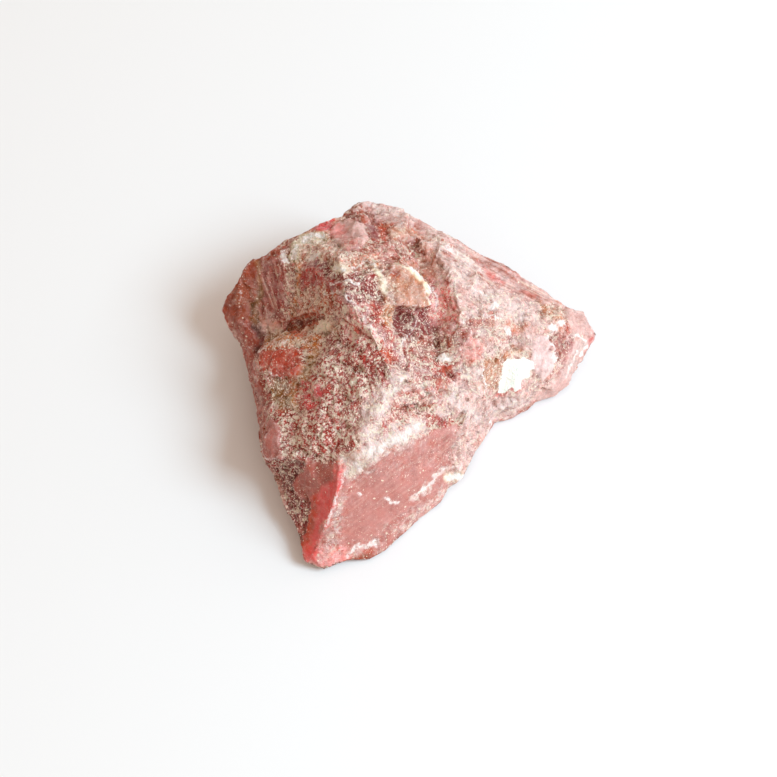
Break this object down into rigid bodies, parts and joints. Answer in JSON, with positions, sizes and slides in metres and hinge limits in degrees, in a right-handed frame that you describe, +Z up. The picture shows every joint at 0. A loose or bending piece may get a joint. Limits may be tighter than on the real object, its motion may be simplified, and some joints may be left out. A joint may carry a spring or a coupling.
{
  "type": "rough rhodonite",
  "caption": "Rough, broken lump of pink and red rhodonite with a sharp ridge, a smooth conchoidal nose and pale crusts, resting on its flattest face.",
  "frame": {"origin": "centre of the outer box at its bottom, on the surface the stone rests on", "axes": "+Z up, -Y towards the front, where the pointed nose is, +X to the right seen from the front"},
  "size_m": [0.0618, 0.0602, 0.0275],
  "materials": {
    "rhodonite": "rough broken stone, smoother and slightly translucent on the nose"
  },
  "bodies": {
    "root": {"rhodonite_stone": "rhodonite"}
  },
  "joints": []
}
